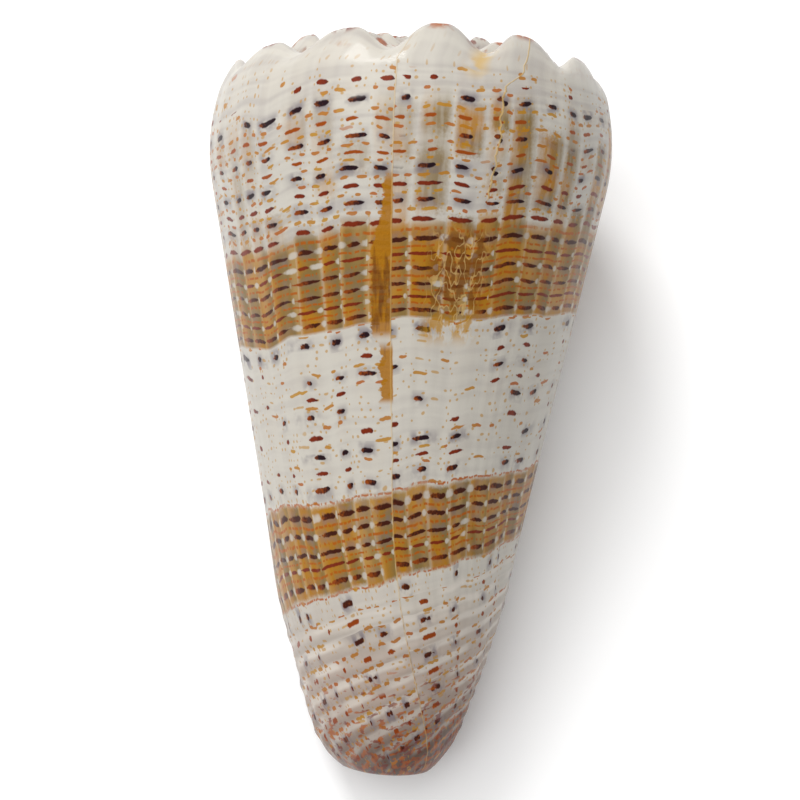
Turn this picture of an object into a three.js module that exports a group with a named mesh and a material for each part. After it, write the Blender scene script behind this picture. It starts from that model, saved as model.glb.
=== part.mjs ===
// An imperial cone shell: one right-handed shell that grew as a single piece. Millimetres, +Z up.
//
// The shell is a sheet rolled round an axis. Growth is counted back from the lip in turns: age 0 is the
// free edge of the outer lip, age 1 lies one turn inside it, and the apex is the oldest part. At each age
// the sheet has one outline, in rows: from the suture, out over the ramp and the crown of knobs, down to
// the line where the next turn is attached (the cap rows), then down the side to the narrow front end.
// On the spire only the cap rows show, and the last cap row of one turn is the first of the turn outside
// it. Inside the lip a narrow hollow runs back between the last turn and the one before.
//
// It lies on a flat surface as such a shell settles, mouth down, with the spire towards +Y. The origin is
// the middle of its box at the surface it lies on.
import * as THREE from 'three';

// Driving dimensions
const LENGTH = 76.4;             // from the apex to the front tip
const CONE_RADIUS = 25.15;       // of the straight side, carried up to the apex plane
const CONE_TAPER = 0.209;        // radius lost for each millimetre down the side
const CROWN_DEPTH = 5.6;         // of the dips between the last knobs, below the apex
const KNOB_HEIGHT = 2.2;         // on average
const KNOB_SWING = 0.3;          // share by which the knobs grow and shrink along the crown
const SWINGS_PER_TURN = 2.5;
const KNOBS_PER_TURN = 13;

// The side of the last turn
const SHOULDER_TUCK = 3.0;       // how far the shoulder draws in at the crown
const SHOULDER_DEPTH = 16;       // where the drawing-in begins
const NOSE_DEPTH = 53;           // where the front end begins to round off
const NOSE_POWER = 7;
const DRAW_DEPTH = 56;           // where the front end begins to draw in
const DRAW_LENGTH = 17;
const FRONT_DRAW = 0.155;         // share of the radius lost there
const END_DEPTH = 75.0;          // where the blunt front face cuts the nose

// Growth
const GROWTH_RATE = 0.17;        // natural logarithm of the growth over one turn, at the lip
const GROWTH_GAIN = 0.018;       // how much faster the young shell grew, for each turn squared
const SPIRE_TURNS = 5.5;
const LIP_FLARE = 0.9;           // how far the lip's edge stands out
const FLARE_TURNS = 0.09;
const EDGE_SWEEP = 0.16;         // turns by which the lip's edge falls back at the front end
const SWEEP_POWER = 5.4;
const NOTCH_TURNS = 0.012;       // the notch in the lip's edge on the ramp

// The wall and the hollow
const LIP_WALL = 0.9;
const FULL_WALL = 2.0;
const WALL_TURNS = 0.12;         // over which the wall reaches its full thickness
const HOLLOW_TURNS = 0.8;
const ATTACH_DROP = 1.6;         // from the crown's dips down to the attached turn
const ROOF_WALL = 1.5;

// Rest
const REST_ROLL = 131.3;         // degrees about the axis, which turns the mouth to the ground
const REST_TILT = 11.6;          // degrees from the ground up to the axis

// Facets
const STEPS = 65;                // in one turn
const CAP_ROWS = 5;
const WELD_ROWS = 2;             // across the thickness of the wall where the lip is attached
const SIDE_ROWS = 21;
const HOLLOW_STEPS = 14;
const CAP_END = CAP_ROWS;
const WELD_END = CAP_END + WELD_ROWS;
const LAST_ROW = WELD_END + SIDE_ROWS;

const growth = (age) => Math.exp(-(GROWTH_RATE * age + GROWTH_GAIN * age * age));
const crownDepth = (age) => CROWN_DEPTH * growth(age);
const attachDepth = (age) => crownDepth(age) + ATTACH_DROP * growth(age);
const wave = (turns) => Math.cos(2 * Math.PI * turns);
const knob = (age) => (1 - Math.pow(0.5 - 0.5 * wave(KNOBS_PER_TURN * age), 1.6))
  * (1 + KNOB_SWING * wave(SWINGS_PER_TURN * (age - 0.4)));

// The radius of the side at a depth: a straight cone less the growth still to come, drawn in at the
// shoulder by a parabola and towards the front by a cubic, and closed at the nose by a superellipse. The
// lip's edge flares outwards.
function sideRadius(age, depth) {
  const cone = CONE_RADIUS * growth(age) - CONE_TAPER * depth;
  const up = Math.max(0, SHOULDER_DEPTH - depth) / (SHOULDER_DEPTH - CROWN_DEPTH);
  const down = Math.max(0, depth - NOSE_DEPTH) / (LENGTH - NOSE_DEPTH);
  const flare = LIP_FLARE * Math.pow(Math.max(0, 1 - age / FLARE_TURNS), 2);
  const nose = Math.sqrt(1 - Math.pow(down, NOSE_POWER));
  const drawn = 1 - FRONT_DRAW * THREE.MathUtils.smoothstep(depth, DRAW_DEPTH, DRAW_DEPTH + DRAW_LENGTH);
  return (cone - SHOULDER_TUCK * up * up * growth(age) + flare) * nose * drawn;
}

// The radius and depth of the line where the turn outside is attached.
const attachPoint = (age) => [sideRadius(age, attachDepth(age)), attachDepth(age)];

const mix = (a, b, t) => a + (b - a) * t;
const bezier = (a, b, c, d, t) => mix(
  mix(mix(a, b, t), mix(b, c, t), t), mix(mix(b, c, t), mix(c, d, t), t), t);

// The radius and depth of the cap at t, from the suture (0) over the crown to the attached line (1). The
// knobs stand on the crown and lean towards the axis. wall moves the line into the shell.
function capPoint(age, t, wall = 0) {
  const size = growth(age);
  const [sutureRadius, sutureDepth] = attachPoint(age + 1);
  const [outerRadius, outerDepth] = attachPoint(age);
  const crownRadius = outerRadius - 0.9 * size;
  const stand = Math.exp(-Math.pow((t - 0.62) / 0.28, 2)) * knob(age) * size * (wall ? 0.4 : 1);
  const slack = wall * Math.sin(Math.PI * Math.min(1, 0.5 + t / 2));
  const radius = bezier(sutureRadius, mix(sutureRadius, crownRadius, 0.6), crownRadius, outerRadius, t);
  const level = crownDepth(age) - 0.5 * size;
  const depth = bezier(sutureDepth, mix(sutureDepth, level, 0.5), level, outerDepth, t);
  return [radius - 0.7 * stand - wall + slack, depth - KNOB_HEIGHT * stand + slack];
}

const wallAt = (age, along) => mix(LIP_WALL, FULL_WALL, THREE.MathUtils.smoothstep(age, 0, WALL_TURNS))
  * growth(age) * (1 - 0.65 * Math.pow(along, 4));

// A point of the sheet in the shell's own frame. Row counts from the suture; inside asks for the inner side.
function shellPoint(age, row, inside = false) {
  let radius, depth, sweep;
  if (row <= CAP_END) {
    const t = row / CAP_ROWS;
    [radius, depth] = capPoint(age, t, inside ? wallAt(age, 0) : 0);
    sweep = NOTCH_TURNS * Math.sin(Math.PI * t);
  } else {
    const top = attachDepth(age);
    const roof = top + ROOF_WALL * growth(age);
    depth = row <= WELD_END
      ? mix(top, roof, (row - CAP_END) / WELD_ROWS)
      : mix(roof, END_DEPTH, Math.sin(0.5 * Math.PI * Math.pow((row - WELD_END) / SIDE_ROWS, 1.1)));
    const along = (depth - top) / (END_DEPTH - top);
    radius = sideRadius(age, depth) - (inside ? wallAt(age, along) : 0);
    sweep = EDGE_SWEEP * Math.pow(along, SWEEP_POWER);
  }
  const turn = 2 * Math.PI * (age + sweep);
  return new THREE.Vector3(radius * Math.cos(turn), radius * Math.sin(turn), -depth);
}

// Collects points and triangles. A strip joins two lists of point numbers, side by side.
class Skin {
  points = [];
  triangles = [];

  add(point) {
    return this.points.push(point) - 1;
  }

  strip(left, right) {
    for (let j = 0; j + 1 < left.length; j++) {
      this.triangle(left[j], left[j + 1], right[j + 1]);
      this.triangle(left[j], right[j + 1], right[j]);
    }
  }

  triangle(a, b, c) {
    if (a !== b && b !== c && c !== a) this.triangles.push(a, b, c);
  }

  // Fills a loop, which flat draws in a plane. The triangles turn the same way as the loop.
  fill(loop, flat) {
    const outline = loop.map((index) => flat(this.points[index]));
    const turned = THREE.ShapeUtils.isClockWise(outline);
    for (const [a, b, c] of THREE.ShapeUtils.triangulateShape(outline, [])) {
      if (turned) this.triangle(loop[a], loop[c], loop[b]);
      else this.triangle(loop[a], loop[b], loop[c]);
    }
  }
}

function shellGeometry() {
  const skin = new Skin();
  const columns = [];            // columns[i][row] is the outer side at age i / STEPS
  const last = Math.round(SPIRE_TURNS * STEPS);

  // The outer side. Past one turn only the cap rows show, and their last row is the outer turn's suture.
  for (let i = 0; i <= last; i++) {
    const rows = i <= STEPS ? LAST_ROW : CAP_END;
    columns.push([]);
    for (let row = 0; row <= rows; row++) {
      const shared = row === CAP_END && i >= STEPS;
      columns[i].push(shared ? columns[i - STEPS][0] : skin.add(shellPoint(i / STEPS, row)));
    }
  }
  for (let i = 0; i < last; i++) {
    const rows = (i < STEPS ? LAST_ROW : CAP_END) + 1;
    skin.strip(columns[i].slice(0, rows), columns[i + 1].slice(0, rows));
  }

  // The apex: a fan over the youngest suture.
  const apex = skin.add(new THREE.Vector3(0, 0, 0));
  for (let i = last - STEPS; i < last; i++) skin.triangle(columns[i][0], columns[i + 1][0], apex);
  for (let row = 0; row < CAP_END; row++) skin.triangle(columns[last][row], columns[last][row + 1], apex);

  // The hollow: the turn before, as seen through the mouth, and the inner side of the last turn.
  const core = [columns[STEPS].slice(WELD_END)];
  const inner = [];
  for (let k = 0; k <= HOLLOW_STEPS; k++) {
    const age = HOLLOW_TURNS * k / HOLLOW_STEPS;
    if (k > 0) {
      core.push([]);
      for (let row = WELD_END; row <= LAST_ROW; row++) core[k].push(skin.add(shellPoint(age + 1, row)));
      skin.strip(core[k - 1], core[k]);
    }
    inner.push([core[k][0]]);
    for (let row = 1; row <= LAST_ROW; row++) inner[k].push(skin.add(shellPoint(age, row, true)));
    if (k > 0) skin.strip(inner[k], inner[k - 1]);
  }

  // The lip's rounded edge. Its top is welded to the turn before, across the wall's thickness.
  const edge = [columns[0]];
  for (let k = 1; k < WELD_ROWS; k++) {
    edge.push([columns[STEPS][CAP_END + k]]);
    for (let row = 1; row <= LAST_ROW; row++) {
      const outside = skin.points[columns[0][row]];
      const within = skin.points[inner[0][row]];
      const onward = new THREE.Vector3(outside.y, -outside.x, 0).normalize();
      const bulge = outside.distanceTo(within) / 2 * Math.sin(Math.PI * k / WELD_ROWS);
      const middle = outside.clone().lerp(within, 0.5 - 0.5 * Math.cos(Math.PI * k / WELD_ROWS));
      edge[k].push(skin.add(middle.addScaledVector(onward, bulge)));
    }
  }
  edge.push(inner[0]);
  for (let k = 0; k < WELD_ROWS; k++) skin.strip(edge[k + 1], edge[k]);

  // The end of the hollow, and the blunt front face round the canal.
  const radial = (p) => new THREE.Vector2(Math.hypot(p.x, p.y), p.z);
  const below = (p) => new THREE.Vector2(p.x, p.y);
  skin.fill([...core.at(-1), ...inner.at(-1).slice(1).reverse()], radial);
  skin.fill([
    ...edge.slice(0, -1).map((column) => column[LAST_ROW]),
    ...inner.map((column) => column.at(-1)),
    ...core.map((column) => column.at(-1)).reverse(),
    ...columns.slice(1, STEPS).map((column) => column[LAST_ROW]).reverse(),
  ], below);

  return new THREE.BufferGeometry().setFromPoints(skin.points).setIndex(skin.triangles);
}

// Turns the shell mouth down with its axis along Y, and sets it on the ground under its box's middle.
function layDown(geometry) {
  const degrees = THREE.MathUtils.degToRad;
  geometry.rotateZ(degrees(REST_ROLL));
  geometry.rotateX(degrees(REST_TILT - 90));
  geometry.computeBoundingBox();
  const { min, max } = geometry.boundingBox;
  return geometry.translate(-(min.x + max.x) / 2, -(min.y + max.y) / 2, -min.z);
}

const shell = new THREE.Mesh(
  layDown(shellGeometry()),
  new THREE.MeshStandardMaterial({ color: 0xd9cfc0, roughness: 0.3, metalness: 0 }),
);
shell.name = 'shell';

const coneShell = new THREE.Group();
coneShell.add(shell);
export default coneShell;
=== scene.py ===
"""A cone shell lying on a pale table with its mouth down, in metres.

The shell is a sheet rolled round an axis. Age counts back from the lip in turns: 0 is the free edge of the
outer lip, 1 lies one turn inside it, and the apex is the oldest part. At each age the sheet has one outline
of rows: from the suture out over the crown of knobs to the line where the next turn is attached (the cap),
then down the side to the front end. The markings follow the same two directions.
"""
import logging
from dataclasses import dataclass, field
from enum import Enum
from typing import Callable, Iterable, Sequence, Union

import bpy
import numpy as np
from mathutils import Matrix, Vector
from mathutils.geometry import tessellate_polygon


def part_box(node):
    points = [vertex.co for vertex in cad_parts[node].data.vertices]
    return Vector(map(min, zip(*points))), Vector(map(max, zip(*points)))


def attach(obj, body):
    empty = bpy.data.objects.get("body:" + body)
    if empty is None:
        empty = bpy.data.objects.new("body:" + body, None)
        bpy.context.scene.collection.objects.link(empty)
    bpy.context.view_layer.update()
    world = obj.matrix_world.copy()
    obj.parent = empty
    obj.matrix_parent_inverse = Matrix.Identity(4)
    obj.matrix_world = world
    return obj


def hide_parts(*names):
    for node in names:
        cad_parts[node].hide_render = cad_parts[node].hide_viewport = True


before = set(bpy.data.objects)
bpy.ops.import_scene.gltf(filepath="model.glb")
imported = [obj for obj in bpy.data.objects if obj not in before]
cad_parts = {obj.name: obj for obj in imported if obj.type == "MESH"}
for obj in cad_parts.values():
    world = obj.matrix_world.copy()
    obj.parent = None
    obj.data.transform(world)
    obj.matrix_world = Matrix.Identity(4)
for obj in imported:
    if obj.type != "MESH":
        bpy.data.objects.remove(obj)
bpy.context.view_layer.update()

MM = 0.001
LOG = logging.getLogger("cone_shell")

Array = np.ndarray
Flat = Callable[[Array], Array]
Socket = bpy.types.NodeSocket
Place = tuple[float, float, float]


def smooth(value: Array, low: float, high: float) -> Array:
    """Gives 0 below low and 1 above high, with the cubic 3t^2 - 2t^3 between.

    Args:
        value: The numbers to grade.
        low: Where the rise begins.
        high: Where it ends.

    Returns:
        The graded numbers.
    """
    t = np.clip((value - low) / (high - low), 0.0, 1.0)
    return t * t * (3.0 - 2.0 * t)


def wander(place: Array, seed: int) -> Array:
    """Gives a smooth random line between -1 and 1: random heights at the whole numbers, joined by cubics.

    Args:
        place: Where to read the line.
        seed: Picks the line.

    Returns:
        The line's heights, in the shape of place.
    """
    heights = np.random.default_rng(seed).uniform(-1.0, 1.0, 4096)
    cell = np.floor(place).astype(int)
    t = smooth(place - cell, 0.0, 1.0)
    return heights.take(cell, mode="wrap") * (1.0 - t) + heights.take(cell + 1, mode="wrap") * t


def pairs(first: Array, second: Union[Array, float]) -> Array:
    """Joins two arrays, stretched to one shape, as the two values at each place."""
    return np.stack(np.broadcast_arrays(first, second), axis=-1)


@dataclass(frozen=True)
class Sheet:
    """The growing sheet's form, in millimetres and turns, in the shell's own frame with the apex at 0."""

    length: float = 76.4
    cone_radius: float = 25.15
    cone_taper: float = 0.209
    crown_depth: float = 5.6
    knob_height: float = 2.2
    knob_swing: float = 0.3
    swings_per_turn: float = 2.5
    knobs_per_turn: int = 13
    shoulder_tuck: float = 3.0
    shoulder_depth: float = 16.0
    nose_depth: float = 53.0
    nose_power: float = 7.0
    draw_depth: float = 56.0
    draw_length: float = 17.0
    front_draw: float = 0.155
    end_depth: float = 75.0
    growth_rate: float = 0.17
    growth_gain: float = 0.018
    lip_flare: float = 0.9
    flare_turns: float = 0.09
    edge_sweep: float = 0.16
    sweep_power: float = 5.4
    notch_turns: float = 0.012
    lip_wall: float = 0.9
    full_wall: float = 2.0
    wall_turns: float = 0.12
    attach_drop: float = 1.6
    roof_wall: float = 1.5
    cap_span: float = 5.0
    cord_period: float = 1.85
    cord_height: float = 0.16

    def size(self, age: Array) -> Array:
        """Gives the growth at an age, as a share of that at the lip: the exponential of a quadratic."""
        return np.exp(-(self.growth_rate * age + self.growth_gain * age * age))

    def knob(self, age: Array) -> Array:
        """Gives how far up a knob an age is: 1 less a power of a raised cosine, times a slow cosine."""
        top = np.cos(2.0 * np.pi * self.knobs_per_turn * age)
        swing = np.cos(2.0 * np.pi * self.swings_per_turn * (age - 0.4))
        return (1.0 - (0.5 - 0.5 * top) ** 1.6) * (1.0 + self.knob_swing * swing)

    def side_radius(self, age: Array, depth: Array) -> Array:
        """Gives the radius of the side: a cone, drawn in at the shoulder and closed at the nose.

        Args:
            age: Turns back from the lip.
            depth: Millimetres below the apex.

        Returns:
            The radius: the straight cone less a parabola at the shoulder, plus the lip's flare, all times
            a superellipse at the nose and a cubic that draws the front end in.
        """
        size = self.size(age)
        up = np.maximum(0.0, self.shoulder_depth - depth) / (self.shoulder_depth - self.crown_depth)
        down = np.clip((depth - self.nose_depth) / (self.length - self.nose_depth), 0.0, 1.0)
        flare = self.lip_flare * np.maximum(0.0, 1.0 - age / self.flare_turns) ** 2
        cone = self.cone_radius * size - self.cone_taper * depth - self.shoulder_tuck * up * up * size
        drawn = 1.0 - self.front_draw * smooth(depth, self.draw_depth, self.draw_depth + self.draw_length)
        return (cone + flare) * np.sqrt(1.0 - down**self.nose_power) * drawn

    def attach_depth(self, age: Array) -> Array:
        """Gives the depth of the line where the turn outside is attached."""
        return (self.crown_depth + self.attach_drop) * self.size(age)

    def wall(self, age: Array, along: Array) -> Array:
        """Gives the wall's thickness: thin at the lip's edge, and thinner again towards the front end."""
        grown = smooth(age, 0.0, self.wall_turns)
        thick = self.lip_wall * (1.0 - grown) + self.full_wall * grown
        return thick * self.size(age) * (1.0 - 0.65 * along**4)

    def relief(self, age: Array, depth: Array) -> Array:
        """Gives the fine relief of the side, outwards: growth lines, folds under the knobs, front cords.

        Args:
            age: Turns back from the lip.
            depth: Millimetres below the apex.

        Returns:
            The sum of two wandering lines in age, a fold that fades down from each knob, and a row of
            rounded cords that rises towards the front end. Cords keep to their share of the growth.
        """
        row = depth / self.size(age)
        front = smooth(row, 62.0, 72.0)
        lines = 0.035 * wander(age * 170.0 + 0.1 * row, 1) + (0.05 + 0.14 * front) * wander(age * 46.0, 2)
        folds = 0.28 * (self.knob(age + 0.001 * row) - 0.4) * np.exp(-np.maximum(0.0, row - 6.2) / 3.6)
        slanted = row + (age - 0.4) * 13.0
        wave = np.cos(2.0 * np.pi * (slanted / self.cord_period + 0.12 * wander(age * 14.0, 3)))
        cords = (0.5 + 0.5 * wave) ** 1.6 * smooth(row, 57.5, 64.0) * (1.0 - smooth(row, 76.0, 79.0))
        fade = smooth(self.end_depth - depth, 0.0, 3.0)
        cords = self.cord_height * cords * (0.75 + 0.35 * wander(age * 22.0 + row, 4))
        return (lines + cords) * fade + folds

    def cap(self, age: Array, t: Array, wall: Union[Array, float] = 0.0) -> tuple[Array, Array]:
        """Gives a cap point: a cubic curve from the suture to the attached line, plus the knobs.

        Args:
            age: Turns back from the lip.
            t: 0 at the suture, 1 at the attached line.
            wall: Moves the point in from the outer side by this much.

        Returns:
            The radius and the depth.
        """
        size = self.size(age)
        inner_depth, outer_depth = self.attach_depth(age + 1.0), self.attach_depth(age)
        inner = self.side_radius(age + 1.0, inner_depth)
        outer = self.side_radius(age, outer_depth)
        crown = outer - 0.9 * size
        level = self.crown_depth * size - 0.5 * size
        weights = ((1.0 - t) ** 3, 3.0 * t * (1.0 - t) ** 2, 3.0 * t * t * (1.0 - t), t**3)
        radius = sum(w * p for w, p in zip(weights, (inner, inner * 0.4 + crown * 0.6, crown, outer)))
        depths = (inner_depth, (inner_depth + level) / 2.0, level, outer_depth)
        depth = sum(w * p for w, p in zip(weights, depths))
        bulge = np.exp(-(((t - 0.62) / 0.28) ** 2)) * self.knob(age) * size * np.where(wall > 0.0, 0.4, 1.0)
        slack = wall * np.sin(np.pi * np.minimum(1.0, 0.5 + t / 2.0))
        return radius - 0.7 * bulge - wall + slack, depth - self.knob_height * bulge + slack

    def points(self, age: Array, radius: Array, depth: Array, sweep: Array) -> Array:
        """Turns radius and depth at an age, plus the sweep of the growth lines, into points.

        Args:
            age: Turns back from the lip.
            radius: Distance from the axis.
            depth: Millimetres below the apex.
            sweep: Turns by which the growth line falls back here.

        Returns:
            The points, with x, y, z last.
        """
        turn = 2.0 * np.pi * (age + sweep)
        return np.stack(np.broadcast_arrays(radius * np.cos(turn), radius * np.sin(turn), -depth), axis=-1)


def stand(name: str, data: bpy.types.ID) -> bpy.types.Object:
    """Puts a mesh, a light or a camera in the scene as an object at the origin."""
    made = bpy.data.objects.new(name, data)
    bpy.context.scene.collection.objects.link(made)
    return made


class Skin:
    """Gathers one closed surface as grids of points, with a set of named maps on its faces' corners."""

    def __init__(self, maps: Sequence[str]) -> None:
        """Starts with nothing.

        Args:
            maps: The names of the corner maps that every face carries.
        """
        self.maps = tuple(maps)
        self.points: list[Array] = []
        self.count = 0
        self.loops: dict[int, list[Array]] = {3: [], 4: []}
        self.values: dict[int, list[Array]] = {3: [], 4: []}

    def add(self, points: Array) -> Array:
        """Adds points and gives their numbers, in the same grid."""
        shape = points.shape[:-1]
        self.points.append(points.reshape(-1, 3))
        numbers = self.count + np.arange(int(np.prod(shape))).reshape(shape)
        self.count += numbers.size
        return numbers

    def quads(self, grid: Array, maps: Sequence[Array]) -> None:
        """Joins a grid of point numbers into four-sided faces.

        Args:
            grid: Point numbers in two directions.
            maps: For each map, its two values at each grid place.
        """
        def corners(values: Array) -> Array:
            """Gives the four corners of each face, in turn."""
            four = (values[:-1, :-1], values[:-1, 1:], values[1:, 1:], values[1:, :-1])
            return np.stack(four, axis=2)

        self.loops[4].append(corners(grid).reshape(-1, 4))
        self.values[4].append(np.stack([corners(m).reshape(-1, 4, 2) for m in maps], axis=2))

    def triangles(self, numbers: Array, maps: Sequence[Array]) -> None:
        """Adds three-sided faces.

        Args:
            numbers: Three point numbers for each face.
            maps: For each map, its two values at each corner.
        """
        self.loops[3].append(numbers)
        self.values[3].append(np.stack(maps, axis=2))

    def fill(self, loop: Array, flat: Flat, maps: Sequence[Array]) -> None:
        """Fills a loop with triangles that turn the same way as the loop does in a flat drawing.

        Args:
            loop: Point numbers round the loop.
            flat: Draws points in a plane.
            maps: For each map, its two values at each point of the loop.
        """
        drawn = flat(np.concatenate(self.points)[loop])
        faces = np.array(tessellate_polygon([[Vector((x, y, 0.0)) for x, y in drawn]]))
        a, b, c = (drawn[faces[:, k]] for k in range(3))
        turn = (b[:, 0] - a[:, 0]) * (c[:, 1] - a[:, 1]) - (c[:, 0] - a[:, 0]) * (b[:, 1] - a[:, 1])
        onward = np.roll(drawn, -1, axis=0)
        area = np.sum(drawn[:, 0] * onward[:, 1] - onward[:, 0] * drawn[:, 1])
        wrong = turn * area < 0.0
        faces[wrong] = faces[wrong][:, ::-1]
        self.triangles(loop[faces], [m[faces] for m in maps])

    def mesh(self, name: str, place: Matrix) -> bpy.types.Mesh:
        """Makes the smooth-shaded mesh.

        Args:
            name: The mesh's name.
            place: Carries the points, in millimetres, to where they lie in metres.

        Returns:
            The mesh, with one UV map for each corner map.
        """
        turn = np.array(place)
        points = np.concatenate(self.points) @ turn[:3, :3].T + turn[:3, 3]
        kinds = [n for n in (4, 3) if self.loops[n]]
        loops = [np.concatenate(self.loops[n]) for n in kinds]
        wide = len(self.maps)
        values = np.concatenate([np.concatenate(self.values[n]).reshape(-1, wide, 2) for n in kinds])
        totals = np.concatenate([np.full(len(part), part.shape[1]) for part in loops])
        mesh = bpy.data.meshes.new(name)
        mesh.vertices.add(len(points))
        mesh.vertices.foreach_set("co", points.astype(np.float32).ravel())
        mesh.loops.add(int(totals.sum()))
        corners = np.concatenate([part.ravel() for part in loops])
        mesh.loops.foreach_set("vertex_index", corners.astype(np.int32))
        mesh.polygons.add(len(totals))
        mesh.polygons.foreach_set("loop_start", (np.cumsum(totals) - totals).astype(np.int32))
        mesh.update(calc_edges=True)
        for k, layer in enumerate(self.maps):
            uv = mesh.uv_layers.new(name=layer, do_init=False)
            uv.uv.foreach_set("vector", values[:, k].astype(np.float32).ravel())
        mesh.shade_smooth()
        mesh.validate()
        return mesh


class Wire:
    """One number in a material, with the arithmetic that joins it to others."""

    def __init__(self, graph: "Graph", socket: Socket) -> None:
        """Keeps the socket that carries the number, and the graph it is in."""
        self.graph = graph
        self.socket = socket

    def math(self, operation: str, *others: "Number") -> "Wire":
        """Adds one Math node that takes this number first.

        Args:
            operation: The node's operation.
            others: The operation's other numbers.

        Returns:
            The result.
        """
        node = self.graph.node("ShaderNodeMath", operation=operation)
        for slot, value in zip(node.inputs, (self, *others)):
            self.graph.feed(slot, value)
        return Wire(self.graph, node.outputs[0])

    def __add__(self, other: "Number") -> "Wire":
        """Adds."""
        return self.math("ADD", other)

    def __sub__(self, other: "Number") -> "Wire":
        """Takes away."""
        return self.math("SUBTRACT", other)

    def __mul__(self, other: "Number") -> "Wire":
        """Multiplies."""
        return self.math("MULTIPLY", other)

    def __truediv__(self, other: "Number") -> "Wire":
        """Divides."""
        return self.math("DIVIDE", other)

    def __rsub__(self, other: float) -> "Wire":
        """Takes this number from a plain one."""
        return self.math("MULTIPLY_ADD", -1.0, other)

    __radd__ = __add__
    __rmul__ = __mul__

    def __abs__(self) -> "Wire":
        """Drops the sign."""
        return self.math("ABSOLUTE")

    def floor(self) -> "Wire":
        """Rounds down."""
        return self.math("FLOOR")

    def part(self) -> "Wire":
        """Gives what is left after rounding down."""
        return self.math("FRACT")

    def power(self, exponent: "Number") -> "Wire":
        """Raises to a power."""
        return self.math("POWER", exponent)

    def least(self, other: "Number") -> "Wire":
        """Gives the smaller of two."""
        return self.math("MINIMUM", other)

    def most(self, other: "Number") -> "Wire":
        """Gives the larger of two."""
        return self.math("MAXIMUM", other)

    def rise(self, low: "Number", high: "Number") -> "Wire":
        """Gives 0 below low and 1 above high, with a smooth step between; high may be the lower."""
        node = self.graph.node("ShaderNodeMapRange", interpolation_type="SMOOTHSTEP")
        for slot, value in zip(node.inputs, (self, low, high, 0.0, 1.0)):
            self.graph.feed(slot, value)
        return Wire(self.graph, node.outputs[0])

    def after(self, first: float) -> "Wire":
        """Gives 1 from a whole number on, and 0 below it."""
        return self.rise(first - 0.6, first - 0.4)

    def hump(self, centre: "Number", reach: "Number") -> "Wire":
        """Gives 1 at centre, falling smoothly to 0 at reach on either side."""
        return abs(self - centre).math("DIVIDE", reach).rise(1.0, 0.0)


Number = Union[Wire, float]


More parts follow.
